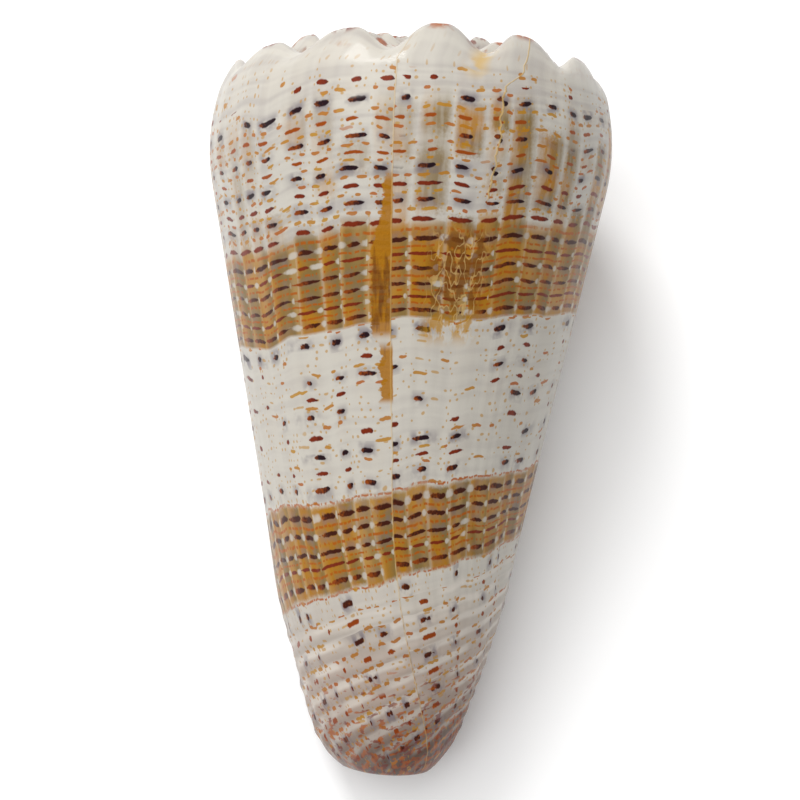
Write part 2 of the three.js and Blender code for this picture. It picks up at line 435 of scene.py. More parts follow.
class Graph:
    """Builds one material. Each method adds a node and gives what comes out of it."""

    def __init__(self, name: str) -> None:
        """Makes the material, with only its output.

        Args:
            name: The material's name.
        """
        self.material = bpy.data.materials.new(name)
        self.material.use_nodes = True
        self.tree = self.material.node_tree
        self.tree.nodes.clear()

    def node(self, kind: str, **settings: object) -> bpy.types.Node:
        """Adds a node and sets its properties."""
        made = self.tree.nodes.new(kind)
        for name, value in settings.items():
            setattr(made, name, value)
        return made

    def feed(self, slot: Socket, value: object) -> None:
        """Joins a wire, a socket or a plain value to an input."""
        if isinstance(value, Wire):
            value = value.socket
        if isinstance(value, Socket):
            self.tree.links.new(value, slot)
        else:
            slot.default_value = value

    def map(self, name: str) -> tuple[Wire, Wire]:
        """Reads one of the piece's own corner maps.

        Args:
            name: The map's name.

        Returns:
            Its two numbers.
        """
        split = self.node("ShaderNodeSeparateXYZ")
        self.feed(split.inputs[0], self.node("ShaderNodeUVMap", uv_map=name).outputs[0])
        return Wire(self, split.outputs[0]), Wire(self, split.outputs[1])

    def pair(self, x: Number, y: Number) -> Socket:
        """Joins two numbers into a vector."""
        made = self.node("ShaderNodeCombineXYZ")
        self.feed(made.inputs[0], x)
        self.feed(made.inputs[1], y)
        return made.outputs[0]

    def noise(self, x: Number, y: Number, detail: float = 1.0) -> Wire:
        """Gives soft noise about 0.5, with features about one unit across in each direction."""
        made = self.node("ShaderNodeTexNoise", noise_dimensions="2D")
        self.feed(made.inputs["Vector"], self.pair(x, y))
        made.inputs["Scale"].default_value = 1.0
        made.inputs["Detail"].default_value = detail
        return Wire(self, made.outputs[0])

    def chance(self, x: Number, y: Number) -> Wire:
        """Gives a random number between 0 and 1 for each pair."""
        made = self.node("ShaderNodeTexWhiteNoise", noise_dimensions="2D")
        self.feed(made.inputs["Vector"], self.pair(x, y))
        return Wire(self, made.outputs[0])

    def ramp(self, value: Wire, stops: Iterable[tuple], stepped: bool = False) -> Socket:
        """Looks a value up in a list of stops.

        Args:
            value: The place, from 0 to 1.
            stops: Places, each with three numbers.
            stepped: Holds each stop's numbers up to the next.

        Returns:
            The three numbers, as one colour.
        """
        made = self.node("ShaderNodeValToRGB")
        ramp = made.color_ramp
        ramp.interpolation = "CONSTANT" if stepped else "LINEAR"
        for k, (place, numbers) in enumerate(stops):
            stop = ramp.elements[k] if k < 2 else ramp.elements.new(place)
            stop.position = place
            stop.color = (*numbers, 1.0)
        self.feed(made.inputs[0], value)
        return made.outputs[0]

    def split(self, colour: Socket) -> tuple[Wire, Wire, Wire]:
        """Takes a colour's three numbers apart."""
        made = self.node("ShaderNodeSeparateColor")
        self.feed(made.inputs[0], colour)
        return tuple(Wire(self, made.outputs[k]) for k in range(3))

    def curve(self, value: Wire, places: Iterable[tuple[float, float]]) -> Wire:
        """Bends a value between 0 and 1 by straight lines between places."""
        made = self.node("ShaderNodeFloatCurve")
        line = made.mapping.curves[0]
        for k, (x, y) in enumerate(places):
            point = line.points[k] if k < 2 else line.points.new(x, y)
            point.location = (x, y)
            point.handle_type = "VECTOR"
        made.mapping.update()
        self.feed(made.inputs["Value"], value)
        return Wire(self, made.outputs[0])

    def blend(self, share: Number, under: object, over: object) -> Socket:
        """Lays one colour over another by a share from 0 to 1."""
        made = self.node("ShaderNodeMix", data_type="RGBA")
        self.feed(made.inputs[0], share)
        self.feed(made.inputs[6], under)
        self.feed(made.inputs[7], over)
        return made.outputs[2]

    def dress(self, values: dict[str, object]) -> None:
        """Adds the shader, feeds its inputs by name, and joins it to the material's output."""
        shader = self.node("ShaderNodeBsdfPrincipled")
        for name, value in values.items():
            self.feed(shader.inputs[name], value)
        self.feed(self.node("ShaderNodeOutputMaterial").inputs[0], shader.outputs[0])


def tint(red: int, green: int, blue: int) -> tuple[float, float, float, float]:
    """Gives a colour's linear values from its usual 0 to 255 ones, by the standard curve."""
    part = np.array([red, green, blue]) / 255.0
    linear = np.where(part <= 0.04045, part / 12.92, ((part + 0.055) / 1.055) ** 2.4)
    return (*map(float, linear), 1.0)


class Kind(Enum):
    """The kinds of row. Each gives the row's darkness, how red it is, and its weight."""

    BLACK = (1.0, 0.15, 1.0)
    DARK = (0.75, 0.45, 0.85)
    RED = (0.35, 0.9, 0.75)
    ORANGE = (0.0, 0.4, 0.5)


@dataclass(frozen=True)
class Row:
    """One spiral row of dashes: its place, in millimetres below the apex at the lip, and its kind."""

    place: float
    kind: Kind


ROWS = tuple(
    Row(place, Kind[kind])
    for place, kind in (
        (9.1, "RED"), (11.0, "BLACK"), (12.9, "ORANGE"), (14.6, "DARK"), (16.2, "ORANGE"), (17.6, "BLACK"),
        (19.3, "RED"), (20.8, "DARK"), (22.7, "RED"), (24.6, "BLACK"), (26.0, "RED"), (27.4, "DARK"),
        (29.0, "DARK"), (30.3, "RED"), (31.6, "DARK"), (33.6, "BLACK"), (35.6, "RED"), (37.2, "DARK"),
        (38.8, "RED"), (40.5, "DARK"), (42.6, "RED"), (44.5, "BLACK"), (46.1, "RED"), (47.6, "DARK"),
        (50.3, "BLACK"), (51.9, "BLACK"), (53.7, "BLACK"), (54.9, "RED"), (56.5, "DARK"), (58.9, "BLACK"),
    )
)


@dataclass
class Lattice:
    """The rows and columns that the markings follow, as numbers in one material.

    Row is the plain place down the side, and moved is the row with its wander. Place counts the rows, number
    is its whole part, and off is the distance from the row's middle. Lanes run through all rows, and cells
    are the dashes' own columns; along goes from -0.5 to 0.5 across one. Scar and crack are the distances past
    the two old breaks, band is 1 in a band, and ragged is fine noise about 0.
    """

    g: Graph
    age: Wire
    row: Wire
    moved: Wire
    scar: Wire
    crack: Wire
    band: Wire
    place: Wire
    number: Wire
    off: Wire
    lane: Wire
    lane_cell: Wire
    lane_along: Wire
    cell: Wire
    along: Wire
    ragged: Wire


@dataclass(frozen=True)
class ShellFinish:
    """The shell's markings and gloss. Ages are turns back from the lip; rows are millimetres at the lip.

    Lanes are pairs of a row's number and the lanes in a turn from there on. A band is where it fades in, from
    none to full, and where it fades out, from none back to full.
    """

    reach: float = 84.0
    rows_in_all: float = 44.0
    first_row: int = 4
    lanes: tuple = ((0, 43.0), (15, 30.0), (24, 41.0), (30, 23.0))
    base_gap: float = 1.85
    row_gap: float = 1.65
    scar_age: float = 0.365
    crack_age: float = 0.4425
    crack_end: float = 20.8
    upper_band: tuple = (22.2, 24.0, 32.6, 32.2)
    lower_band: tuple = (48.8, 49.5, 57.9, 57.2)
    bump_strength: float = 0.35
    bump_depth: float = 0.12
    dullness: float = 0.34
    shine: float = 0.2
    coat: float = 0.15
    coat_dullness: float = 0.08
    white: tuple = tint(193, 188, 178)
    shade: tuple = tint(176, 170, 163)
    rosy: tuple = tint(166, 150, 139)
    front: tuple = tint(84, 64, 54)
    ochre: tuple = tint(162, 110, 20)
    tan: tuple = tint(176, 140, 84)
    olive: tuple = tint(124, 100, 54)
    black: tuple = tint(30, 9, 18)
    brown: tuple = tint(60, 19, 4)
    red: tuple = tint(108, 28, 8)
    orange: tuple = tint(160, 80, 4)
    gold: tuple = tint(172, 124, 20)
    halo: tuple = tint(112, 104, 112)
    amber: tuple = tint(158, 104, 8)
    amber_deep: tuple = tint(108, 62, 10)
    cream: tuple = tint(196, 164, 104)
    porcelain: tuple = tint(210, 202, 192)

    def build(self) -> bpy.types.Material:
        """Builds the whole material: the ground, the marks on it, the stains, and the gloss over all.

        Returns:
            The material.
        """
        g = Graph("shell_gloss")
        inside = g.map("place")[0].rise(0.2, 0.9)
        at = self.lattice(g)
        cover, length, heavy = g.split(g.ramp(at.moved / self.reach, self.zones()))
        dark, redness, weight = self.row_look(at)

        luck = g.chance(at.cell, at.number)
        half = length * (0.72 + g.chance(at.cell + 0.5, at.number + 31.0) * 0.56)
        there = luck.rise(cover, cover - 0.01)

        colour = self.ground(at, half, dark, there)
        colour = self.fine_rows(at, colour)
        colour = self.dashes(at, colour, half, there, (dark, redness, weight * (0.7 + heavy * 0.5)))
        colour = self.ends(at, colour)
        colour, stain = self.stains(at, colour)
        seam = abs(at.scar).rise(0.13, 0.03)
        break_line = abs(at.crack).rise(0.16, 0.04) * at.row.rise(self.crack_end, self.crack_end - 0.8)
        colour = g.blend((seam * 0.35).most(break_line * 0.7), colour, self.cream)
        colour = g.blend(inside, colour, self.porcelain)

        lines = g.noise(at.age * 520.0, at.row * 0.08, 2.0) * 0.22
        height = lines + g.noise(at.age * 120.0, at.row * 1.2, 3.0) * 0.10
        height = height + g.noise(at.age * 70.0, at.row * 0.45, 2.0) * at.row.rise(9.5, 6.0) * 1.2
        height = height + seam * 0.9 + break_line * 1.1 + at.ragged * stain * 0.9
        bump = g.node("ShaderNodeBump")
        bump.inputs["Strength"].default_value = self.bump_strength
        bump.inputs["Distance"].default_value = self.bump_depth * MM
        g.feed(bump.inputs["Height"], height * (1.0 - inside))
        dull = self.dullness + g.noise(at.age * 60.0, at.row * 0.7, 3.0) * 0.14 + stain * 0.15
        g.dress({
            "Base Color": colour, "Roughness": dull, "Normal": bump.outputs[0],
            "Specular IOR Level": self.shine, "Coat Weight": self.coat, "Coat Roughness": self.coat_dullness,
        })
        return g.material

    def lattice(self, g: Graph) -> Lattice:
        """Lays out the rows and columns, with their wander and their jumps at the two scars.

        Args:
            g: The material's graph.

        Returns:
            The lattice. Distances across rows and past the scars are in millimetres at the lip; lanes
            count a few dozen in a turn, and the dashes' columns stray from them a little in each row.
        """
        age, row = g.map("growth")
        arc = (158.0 - row * 1.31).most(30.0)
        wobble = g.noise(row * 0.45, 3.0, 3.0) - 0.5
        bend = (row - 45.0).most(0.0) * 0.00072
        scar = (age - self.scar_age + bend - wobble * 0.0018) * arc
        turn_off = row.rise(9.6, 7.0) * 0.018
        crack = (age - self.crack_age + (row - 13.0) * 0.0006 - turn_off - wobble * 0.012) * arc
        past_scar = scar.rise(-0.08, 0.08)
        past_crack = crack.rise(-0.08, 0.08) * row.rise(self.crack_end + 1.0, self.crack_end - 1.0)
        dip = age.hump(0.225, 0.11) * row.rise(70.0, 20.0) * 1.2
        slope = (age.least(1.0) - 0.4) * (row.rise(7.0, 12.0) * 5.0 + row.rise(46.0, 66.0) * 8.0)
        wave = (g.noise(age * 22.0, row * 0.05, 1.0) - 0.5) * 1.4
        wave = wave * row.rise(5.0, 12.0) * row.rise(84.0, 46.0)
        moved = row - dip + slope + wave + past_scar * 0.3 - past_crack * 0.4
        place = g.curve(moved / self.reach, self.row_curve()) * self.rows_in_all
        number = place.floor()
        off = (place.part() - 0.5) * self.row_gap
        count: Number = self.lanes[0][1]
        for (_, before), (first, now) in zip(self.lanes, self.lanes[1:]):
            count = count + number.after(self.first_row + first) * (now - before)
        warp = (g.noise(age * 20.0, row * 0.012, 1.0) - 0.5) * 0.8
        lane = age * count + warp + (g.noise(age * 60.0, row * 0.03, 1.0) - 0.5) * 0.45 + past_scar * 0.5
        stray = (g.noise(age * 50.0, number * 0.37, 1.0) - 0.5) * 0.35 + g.chance(number, 5.0) * 0.12
        column = lane + stray
        ragged = g.noise(age * 420.0, row * 3.4, 2.0) - 0.5
        lane_cell = lane.floor()
        edge = moved + (g.chance(lane_cell, 8.0) - 0.5) * moved.rise(30.0, 26.0) * 1.6
        upper = edge.rise(*self.upper_band[:2]) * moved.rise(*self.upper_band[2:])
        frayed = moved + (g.chance(lane_cell, 12.0) - 0.5) * 0.5 + ragged * 0.3
        band = upper + frayed.rise(*self.lower_band[:2]) * frayed.rise(*self.lower_band[2:])
        return Lattice(
            g, age, row, moved, scar, crack, band, place, number, off,
            lane, lane_cell, lane.part() - 0.5, column.floor(), column.part() - 0.5, ragged,
        )

    def row_curve(self) -> list[tuple[float, float]]:
        """Gives the bend from place to row number: straight lines through the middle of each row."""
        places = [(0.0, 0.0)]
        below = [ROWS[-1].place + self.base_gap * n for n in range(1, 10)]
        for k, place in enumerate([row.place for row in ROWS] + below):
            places.append((place / self.reach, (self.first_row + k + 0.5) / self.rows_in_all))
        return places

    def row_look(self, at: Lattice) -> tuple[Wire, Wire, Wire]:
        """Gives each row's darkness, redness and weight: listed down to the base, by turns below it."""
        stops = [(k / len(ROWS), r.kind.value) for k, r in enumerate(ROWS)]
        place = (at.number - self.first_row + 0.5) / len(ROWS)
        dark, redness, weight = at.g.split(at.g.ramp(place, stops, stepped=True))
        base = at.number.after(self.first_row + len(ROWS))
        odd = (at.number * 0.5).part().rise(0.2, 0.3) * 0.7 + at.g.chance(at.cell, at.number + 9.0) * 0.4
        listed = 1.0 - base
        return dark * listed + base * odd, redness * listed + base * 0.6, weight * (1.0 - base * 0.1)

    def zones(self) -> list[tuple[float, tuple[float, float, float]]]:
        """Gives how many dashes there are, how long they are, and how heavy, down the side."""
        stops = (
            (0.0, (0.0, 0.2, 0.5)), (7.6, (0.0, 0.2, 0.5)), (8.4, (0.5, 0.15, 0.6)),
            (10.2, (0.88, 0.21, 0.7)), (18.0, (0.98, 0.24, 0.6)), (21.8, (1.0, 0.3, 0.5)),
            (23.6, (1.0, 0.4, 0.5)), (32.4, (1.0, 0.4, 0.5)), (32.7, (0.66, 0.18, 0.7)),
            (36.0, (0.58, 0.15, 0.6)), (44.0, (0.62, 0.15, 0.6)), (48.7, (0.8, 0.18, 0.6)),
            (49.0, (1.0, 0.4, 0.4)), (57.5, (1.0, 0.4, 0.4)), (57.8, (0.4, 0.13, 0.7)),
            (62.0, (0.8, 0.09, 0.6)), (74.0, (1.0, 0.1, 0.6)), (80.0, (0.8, 0.14, 0.9)),
        )
        return [(place / self.reach, numbers) for place, numbers in stops]

    def ground(self, at: Lattice, half: Wire, dark: Wire, there: Wire) -> Socket:
        """Paints the ground: porcelain white, the smears down its lanes, and the two bands.

        Args:
            at: The lattice.
            half: Half a dash's length, as a share of a column.
            dark: The row's darkness.
            there: 1 where the column has a dash in this row.

        Returns:
            The colour.
        """
        g, age, row = at.g, at.age, at.row
        tier = g.noise(age * 5.0, at.moved * 1.3, 1.0) * 0.6 + g.noise(age * 60.0, row * 0.05, 2.0) * 0.5
        colour = g.blend(tier.rise(0.42, 0.78) * row.rise(38.0, 22.0).most(0.5), self.white, self.shade)
        colour = g.blend(row.rise(57.0, 70.0), colour, self.rosy)
        colour = g.blend(row.rise(69.0, 78.0), colour, self.front)
        # Pale bands along the front cords: partly the cords' own paler colour, partly a painted highlight
        # along each crest
        cord_pale_and_highlight = abs((at.moved / self.base_gap).part() - 0.5).rise(0.34, 0.08) * at.moved.rise(58.5, 61.0)
        cord_pale_and_highlight = cord_pale_and_highlight * g.noise(age * 9.0, at.number, 1.0).rise(0.34, 0.52)
        colour = g.blend(cord_pale_and_highlight * row.rise(82.0, 66.0) * 0.75, colour, self.porcelain)

        # Each lane turns from ochre on the side nearer the lip to olive on the other
        side = at.lane_along + at.ragged * 0.12
        tone = side * 0.8 + (g.noise(at.lane_cell * 3.1, row * 0.21, 1.0) - 0.5) * 2.4
        lane_colour = g.blend(tone.rise(-0.30, 0.34), self.ochre, self.olive)

        # Smears run down a lane through three or four rows
        strong = g.noise(at.lane_cell * 7.31, row * 0.15 + at.ragged * 0.2, 1.0).rise(0.36, 0.54)
        strong = strong * (0.7 + g.noise(age * 170.0, row * 0.25, 2.0).rise(0.35, 0.6) * 0.3)
        upper = at.moved.rise(9.0, 13.0) * at.moved.rise(26.0, 23.0)
        upper = upper * (age.rise(0.34, 0.42) * 0.6 + 0.4)
        smear = strong * abs(side).rise(0.58, 0.20) * (upper + 0.04)
        colour = g.blend(smear * 0.92, colour, lane_colour)

        # The bands: paler between the lanes, and white in the gaps between dashes
        pale = abs(at.lane_along).rise(0.30, 0.48) * (0.25 + g.chance(at.lane_cell, 77.0) * 0.6)
        pale = pale.most(g.noise(age * 36.0, 44.0 + row * 0.05, 1.0).rise(0.52, 0.74) * 0.55)
        band_colour = g.blend(pale, lane_colour, self.tan)
        wide = (0.5 - abs(at.along)) / (0.53 - half)
        high = at.off / 0.42
        gap = (wide * wide + high * high + at.ragged * 0.5).rise(1.0, 0.2) * half.rise(0.47, 0.42)
        streak = abs(at.lane_along).rise(0.40, 0.49) * g.chance(at.lane_cell, 21.0).rise(0.5, 0.6) * 0.35
        colour = g.blend(at.band * (1.0 - gap.most(streak) * 0.75), colour, band_colour)

        # A cloud round each dark dash
        near = (1.0 - abs(at.along) / (half + 0.22)).rise(0.0, 0.7)
        lift = (g.chance(at.cell, at.number + 3.0) - 0.5) * 0.5
        cloud = near * (at.off + lift).hump(0.0, 1.1) * there * dark.rise(0.4, 1.0)
        cloud = cloud * g.noise(age * 90.0, row * 0.8, 2.0).rise(0.3, 0.6)
        return g.blend(cloud * (0.8 - at.band * 0.3), colour, self.halo)

    def fine_rows(self, at: Lattice, colour: Socket) -> Socket:
        """Adds the fine rows between the dashed ones: broken lines in the bands, scattered dots outside.

        Args:
            at: The lattice.
            colour: What lies under them.

        Returns:
            The colour with the dots.
        """
        g = at.g
        between = at.place + 0.5
        level = between.floor()
        bend = (g.noise(at.age * 110.0, level, 1.0) - 0.5) * 0.35
        off = abs((between.part() - 0.5) * self.row_gap + bend)
        ink = g.blend(g.chance(at.lane_cell, level + 60.0), self.orange, self.gold)

        step = at.age * 150.0 + g.noise(at.age * 120.0, level * 3.3, 1.0) * 1.6
        reach = 0.14 + g.chance(step.floor(), level + 0.5) * 0.42
        hem = at.moved.rise(47.9, 48.2) * at.moved.rise(58.9, 58.6) * (1.0 - at.band)
        line = (off + hem * off * 0.8).rise(0.19, 0.06)
        line = abs(step.part() - 0.5).rise(reach + 0.08, reach - 0.12) * line
        colour = g.blend(line * at.band.most(hem) * 0.9, colour, self.orange)

        # Short strokes, one or two in a lane
        stroke = at.lane * 1.9 + g.chance(level, 3.0)
        luck = g.chance(stroke.floor(), level + 0.5)
        many = at.moved.rise(8.0, 12.0) * at.moved.rise(33.0, 22.0) * 0.58
        many = many + at.moved.rise(58.0, 64.0) * 0.55 + 0.28
        reach = 0.19 + g.chance(stroke.floor(), level + 70.0) * 0.18
        body = (abs(stroke.part() - 0.5) / reach).power(3.0) + (off / 0.17).power(2.0) + at.ragged * 0.8
        strokes = body.rise(1.25, 0.55) * luck.rise(many, many - 0.01) * (1.0 - at.band)
        colour = g.blend(strokes * at.row.rise(6.0, 8.0) * 0.9, colour, ink)

        # Specks in three finer tiers
        third = at.place * 3.0 + (g.noise(at.age * 60.0, at.row * 0.4, 1.0) - 0.5) * 0.6
        tier = third.floor()
        dot = at.lane * 4.6 + g.chance(tier, 3.0)
        size = 0.13 + g.chance(dot.floor(), tier + 70.0) * 0.12
        x = (dot.part() - 0.5) / size
        y = (third.part() - 0.5) / (size * 1.2)
        few = (x * x + y * y).rise(1.4, 0.4) * g.chance(dot.floor(), tier + 0.5).rise(0.36, 0.35)
        return g.blend(few * (1.0 - at.band) * at.row.rise(5.5, 8.5) * 0.65, colour, self.gold)

    def dashes(
        self, at: Lattice, colour: Socket, half: Wire, there: Wire, look: tuple[Wire, Wire, Wire]
    ) -> Socket:
        """Adds the dashes: blunt lozenges, redder at the end nearer the lip and darker at the other.

        Args:
            at: The lattice.
            colour: What lies under them.
            half: Half a dash's length, as a share of a column.
            there: 1 where the column has a dash in this row.
            look: The row's darkness, redness and weight.

        Returns:
            The colour with the dashes.
        """
        g = at.g
        dark, redness, weight = look
        lean = at.along + at.ragged * 0.09
        shape = 1.0 - (abs(lean) / half).power(4.0)
        tip = (g.chance(at.cell, at.number + 13.0) - 0.5) * at.along * 0.35
        bow = (g.noise(at.age * 150.0, at.number, 1.0) - 0.5) * 0.18 + tip
        body = shape * (0.14 + weight * 0.11) + at.ragged * 0.10 - abs(at.off + bow)
        edge = body.rise(-0.06, 0.06) * there
        ink = g.blend(redness, self.orange, self.red)
        deep = (dark * 1.05 + lean / half * 0.42 + at.ragged * 0.6 - 0.1).rise(0.25, 0.95)
        core = body.rise(-0.04, 0.09) * 0.4 + 0.6
        darkest = g.blend(at.band.most(at.row.rise(46.0, 60.0)), self.black, self.brown)
        return g.blend(edge * core, colour, g.blend(deep, ink, darkest))

    def ends(self, at: Lattice, colour: Socket) -> Socket:
        """Adds the red-brown flecks on the crown and spire and the mottling at the front end.

        Args:
            at: The lattice.
            colour: What lies under them.

        Returns:
            The colour with both.
        """
        g, age, row = at.g, at.age, at.row
        brown = g.blend(g.noise(age * 30.0, row * 0.5, 2.0).rise(0.42, 0.58), self.red, self.orange)
        old = age.rise(0.9, 1.1)
        level = 0.62 - old * 0.06
        crown = row.rise(7.4, 5.6) * g.noise(age * 46.0, row * 0.8, 2.5).rise(level, level + 0.10)
        crown = crown * age.rise(4.9, 4.2)
        colour = g.blend(crown * (0.35 + old * 0.45), colour, brown)
        tip = abs((age * Sheet.knobs_per_turn + 0.5).part() - 0.5)
        spot = (tip.rise(0.24, 0.05) * row.hump(4.6, 2.0)).rise(0.2, 0.6)
        spot = spot * g.noise(age * 130.0, row * 1.3, 2.0).rise(0.40, 0.54)
        colour = g.blend(spot * 0.9, colour, brown)
        stain = age.hump(0.424, 0.014) * row.rise(9.2, 7.2) * g.noise(age * 90.0, row, 2.0).rise(0.3, 0.55)
        colour = g.blend(stain * 0.85, colour, self.cream)
        speck = g.noise(age * 44.0 + row * 0.5, row * 1.9, 3.0)
        level = 0.64 - row.rise(66.0, 80.0) * 0.20 - age.hump(0.42, 0.12) * 0.02
        nose = row.rise(64.0, 70.0) * speck.rise(level, level + 0.09)
        brown = g.blend(g.noise(age * 30.0, row, 1.0).rise(0.4, 0.6), self.red, self.orange)
        return g.blend(nose * 0.7, colour, brown)

    def stains(self, at: Lattice, colour: Socket) -> tuple[Socket, Wire]:
        """Lays the amber of an old repair beside the long scar, and the scratched patch beyond it.

        Args:
            at: The lattice.
            colour: What lies under the stains.

        Returns:
            The colour with the stains, and their share.
        """
        g, age, row = at.g, at.age, at.row
        low = row.rise(33.6, 34.6)
        left = 0.75 + row.rise(19.6, 25.5) * 1.15 - low * 0.85 - row.hump(23.0, 1.0) * 0.3
        rough = (g.noise(row * 0.8, 11.0, 3.0) - 0.5) * 1.3 + at.ragged * 0.4
        streak = (at.scar - 0.05 - low * 0.15).rise(0.08, -0.08)
        streak = (at.scar + left + rough).rise(-0.10, 0.10) * streak
        streak = streak * row.rise(17.6, 19.0) * row.rise(40.6, 39.8) * (1.0 - row.hump(34.2, 1.1) * 0.9)
        grain = g.noise(age * 260.0, row * 0.35, 3.0) * 0.6 + row.hump(29.5, 6.0) * 0.25
        resin = g.blend(grain.rise(0.36, 0.60), self.amber, self.amber_deep)
        colour = g.blend(streak * (0.94 - row.hump(29.0, 5.0) * 0.14), colour, resin)

        patch = abs(age - 0.4185 + (row - 28.0) * 0.0004).rise(0.030, 0.016)
        patch = patch * row.hump(28.8, 7.0).rise(0.0, 0.3)
        loops = abs(g.noise(age * 110.0, row * 0.42, 1.5) - 0.5).rise(0.026, 0.010)
        worn = patch * g.noise(age * 100.0, row * 0.5, 3.0).rise(0.42, 0.54)
        colour = g.blend(worn * 0.8, colour, g.blend(row.rise(30.0, 33.0), self.amber_deep, self.gold))
        scratch = patch * loops
        colour = g.blend(scratch * 0.55, colour, self.cream)
        return colour, streak.most(worn * 0.5).most(scratch * 0.7)


# The bake map: low x, low y, high x and high y of each part's box, with one box for each turn of the cap.
# The side takes all that is above its strip, and the small plain faces take spots.
CAP_STRIPS = (
    (0.0, 0.22, 1.0, 0.295), (0.0, 0.16, 1.0, 0.215), (0.0, 0.12, 1.0, 0.155),
    (0.0, 0.09, 1.0, 0.115), (0.0, 0.075, 1.0, 0.087), (0.0, 0.067, 1.0, 0.073),
)
CORE_STRIP = (0.52, 0.0, 0.94, 0.06)
INNER_STRIP = (0.06, 0.0, 0.48, 0.06)
EDGE_STRIP = (0.0, 0.0, 0.05, 0.06)
SIDE_STRIP = 0.30
APEX_SPOT = (0.5, 0.07)
PLUG_SPOT = (0.97, 0.03)
SPOT_SCALE = 0.004
FRONT_ROW = 81.0


@dataclass
class ConeShell:
    """The shell as one closed surface. Counts are of steps; sizes are in the sheet."""

    sheet: Sheet = field(default_factory=Sheet)
    finish: ShellFinish = field(default_factory=ShellFinish)
    spire_turns: float = 5.5
    hollow_turns: float = 0.8
    roll: float = 131.3
    tilt: float = 11.6
    steps: int = 345
    cap_rows: int = 12
    weld_rows: int = 6
    side_rows: int = 140
    hollow_steps: int = 40

    def side_shares(self) -> Array:
        """Gives the side rows' places, from 0 to 1: even steps that grow three times finer at the front."""
        step = 1.0 - 0.68 * smooth(np.linspace(0.0, 1.0, self.side_rows), 0.32, 0.52)
        return np.cumsum(step) / step.sum()

    def side_grid(self, age: Array, inner: bool = False) -> tuple[Array, Array, Array]:
        """Works out the side's points, below the cap, at some ages.

        Args:
            age: The ages.
            inner: Asks for the inner side of the wall.

        Returns:
            The points, the depths, and each depth as a share of the side.
        """
        s = self.sheet
        age = age[:, None]
        top = s.attach_depth(age)
        roof = top + s.roof_wall * s.size(age)
        weld = top + (roof - top) * np.arange(1, self.weld_rows + 1) / self.weld_rows
        depth = np.concatenate([weld, roof + (s.end_depth - roof) * self.side_shares()], axis=1)
        along = (depth - top) / (s.end_depth - top)
        change = -s.wall(age, along) if inner else s.relief(age, depth)
        radius = s.side_radius(age, depth) + change
        return s.points(age, radius, depth, s.edge_sweep * along**s.sweep_power), depth, along

    def cap_grid(self, age: Array, rows: Array, inner: bool = False) -> Array:
        """Works out the cap's points at some ages.

        Args:
            age: The ages.
            rows: The rows, from 0 at the suture.
            inner: Asks for the inner side of the wall.

        Returns:
            The points.
        """
        s = self.sheet
        age = age[:, None]
        t = (rows / self.cap_rows)[None, :]
        radius, depth = s.cap(age, t, s.wall(age, np.zeros_like(age)) if inner else 0.0)
        if not inner:
            fold = s.relief(age, s.attach_depth(age)) * smooth(t, 0.55, 1.0)
            radius = radius + fold
        return s.points(age, radius, depth, s.notch_turns * np.sin(np.pi * t))

    def growth_map(self, age: Array, depth: Array) -> Array:
        """Gives age and the depth that each growing row has at the lip."""
        age = np.broadcast_to(age[:, None], depth.shape)
        return pairs(age, depth / self.sheet.size(age))

    def cap_map(self, age: Array, rows: Array) -> Array:
        """Gives age and a row place that runs on up from the side over the cap."""
        s = self.sheet
        place = s.crown_depth + s.attach_drop - s.cap_span * (1.0 - rows / self.cap_rows)
        return pairs(age[:, None], place[None, :])

    def sheet_of_bake(self, across: Array, down: Array, box: tuple[float, float, float, float]) -> Array:
        """Spreads a grid evenly over a box of the bake map: low x, low y, high x, high y."""
        x = box[0] + (box[2] - box[0]) * across[:, None]
        y = box[1] + (box[3] - box[1]) * down[None, :]
        return pairs(x, y)

    def skin(self) -> Skin:
        """Builds the closed surface.

        Returns:
            The skin, in the shell's own frame.
        """
        s = self.sheet
        n, cap, weld = self.steps, self.cap_rows, self.weld_rows
        skin = Skin(("growth", "place", "OFBake"))
        last = int(round(self.spire_turns * n))
        ages = np.arange(last + 1) / n
        rows = np.arange(cap + 1)

        # The cap over all turns. From one turn on, its last row is the suture of the turn outside.
        free = skin.add(self.cap_grid(ages, rows[:-1]))
        first = ages[: n + 1]
        side, depth, along = self.side_grid(first)
        rim = skin.add(self.cap_grid(first[:-1], rows[-1:]))
        caps = np.concatenate([free, np.concatenate([rim[:, 0], free[: last + 1 - n, 0]])[:, None]], axis=1)
        for turn in range(int(np.ceil(self.spire_turns))):
            part = slice(turn * n, min(last, (turn + 1) * n) + 1)
            across = (ages[part] - turn).clip(0.0, 1.0)
            bake = self.sheet_of_bake(across, rows / cap, CAP_STRIPS[turn])
            here = np.zeros_like(bake)
            skin.quads(caps[part], (self.cap_map(ages[part], rows), here, bake))

        # The side of the last turn
        outer = skin.add(side)
        body = np.concatenate([caps[: n + 1, -1:], outer], axis=1)
        top = s.attach_depth(first)[:, None]
        depth = np.concatenate([top, depth], axis=1)
        along = np.concatenate([np.zeros_like(top), along], axis=1)
        bake = pairs(first[:, None], SIDE_STRIP + (1.0 - SIDE_STRIP) * along)
        skin.quads(body, (self.growth_map(first, depth), np.zeros_like(bake), bake))

        # The apex: a fan over the oldest suture, and over the end of the cap
        apex = skin.add(np.zeros((1, 3)))[0]
        ring = np.concatenate([free[last - n :, 0], caps[last, 1:]])
        ring_age = np.concatenate([ages[last - n :], np.full(cap, ages[last])])
        fan = np.stack([ring[:-1], ring[1:], np.full(len(ring) - 1, apex)], axis=1)
        growth = np.stack([np.stack([ring_age[:-1], ring_age[1:], ring_age[1:]], axis=1)] * 2, axis=-1)
        growth[..., 1] = 1.0
        spot = np.broadcast_to(np.array(APEX_SPOT), growth.shape)
        skin.triangles(fan, (growth, np.zeros_like(growth), spot))

